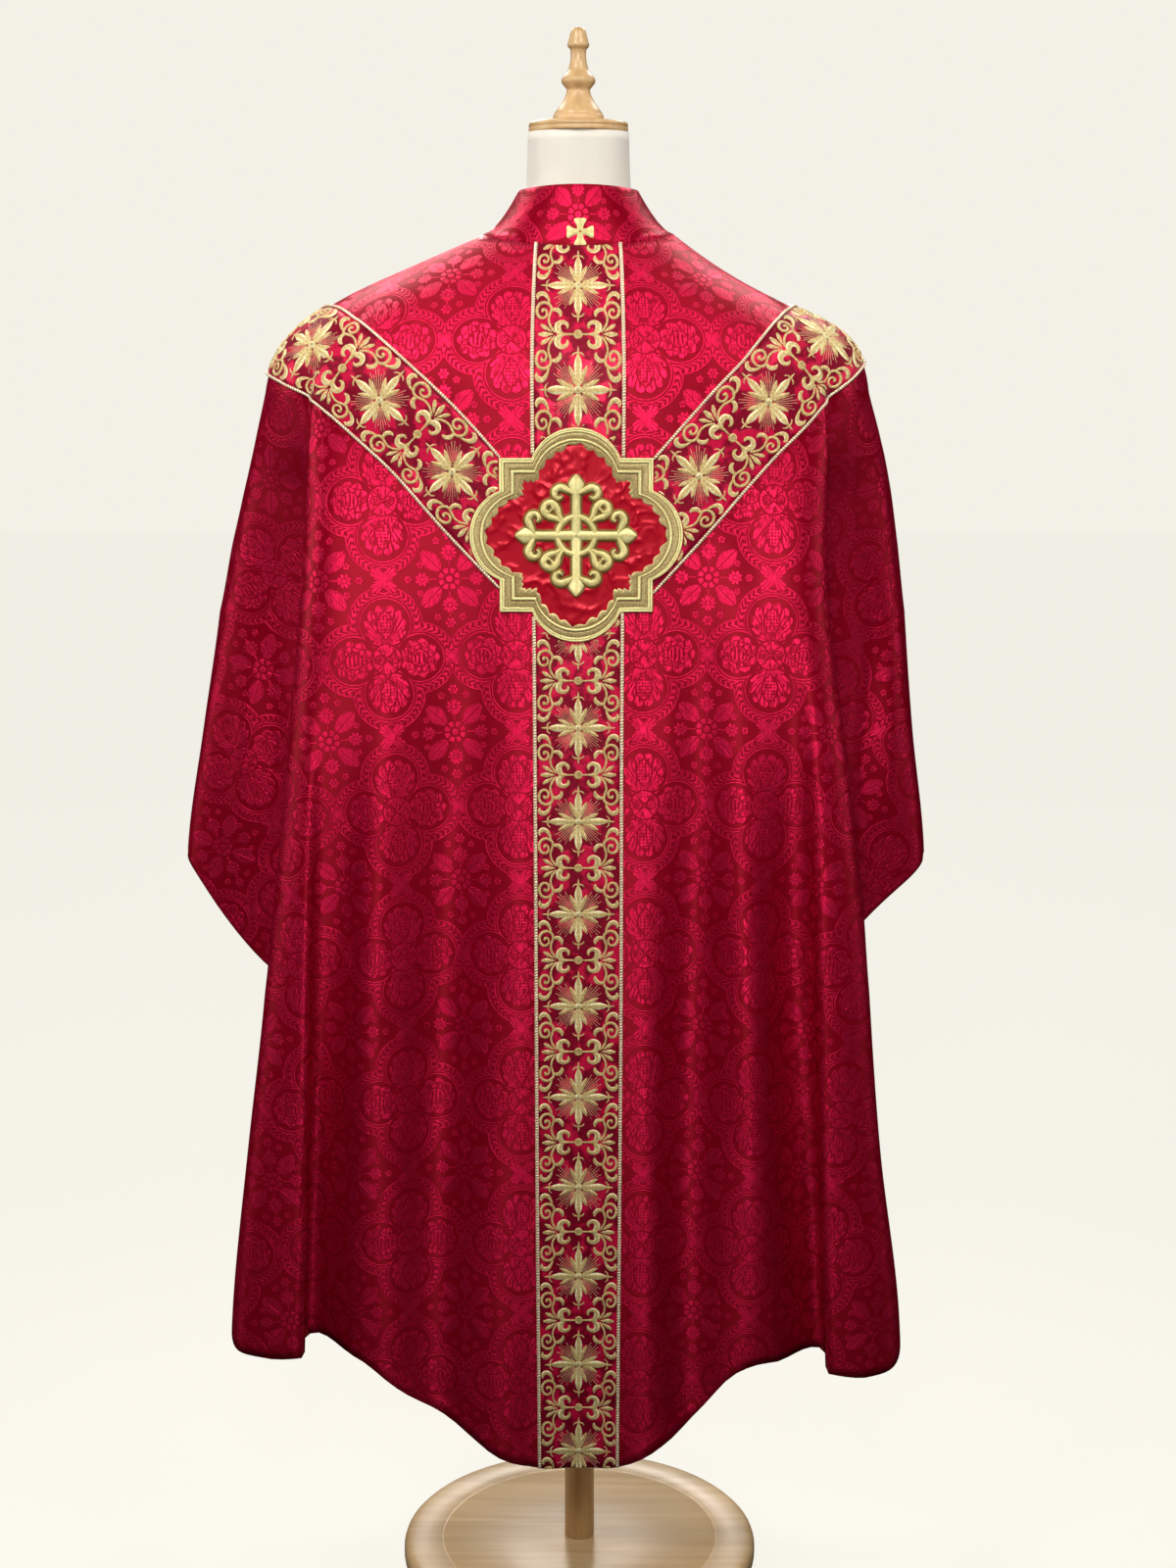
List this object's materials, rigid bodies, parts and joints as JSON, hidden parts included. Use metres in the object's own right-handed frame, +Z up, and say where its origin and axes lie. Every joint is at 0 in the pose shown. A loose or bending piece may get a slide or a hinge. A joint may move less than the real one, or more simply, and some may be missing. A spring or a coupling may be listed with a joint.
{
  "type": "gothic chasuble on a dress form",
  "caption": "Full red damask priest's vestment with embroidered gold bands, a quatrefoil back medallion and a standing collar, worn by a limbless dress form on a pole and round base.",
  "frame": {"origin": "centre of the base's underside, on the floor that the stand rests on", "axes": "+Z up, the back of the garment faces -Y, the wearer's front faces +Y, the left of the back view is -X"},
  "size_m": [0.8159, 0.4136, 1.7179],
  "materials": {
    "damask": "deep red figured silk damask with a satin sheen",
    "orphrey": "crimson satin band embroidered in gold thread",
    "gold_thread": "pale gold metallic thread in satin stitch and cord",
    "red_satin": "bright red glossy satin",
    "form_cloth": "matt cream linen jersey",
    "light_wood": "clear lacquered light wood"
  },
  "bodies": {
    "root": {"back_panel": "damask", "front_panel": "damask", "collar": "damask", "orphrey_back_upper": "orphrey", "orphrey_back_lower": "orphrey", "orphrey_front": "orphrey", "orphrey_arm_back_left": "orphrey", "orphrey_arm_back_right": "orphrey", "orphrey_arm_front_left": "orphrey", "orphrey_arm_front_right": "orphrey", "medallion_border": "gold_thread", "medallion_field": "red_satin", "medallion_ornament": "gold_thread", "neck_cross": "gold_thread", "form_torso": "form_cloth", "form_neck_cap": "light_wood", "form_finial": "light_wood", "form_pole": "light_wood", "form_base": "light_wood"}
  },
  "joints": []
}
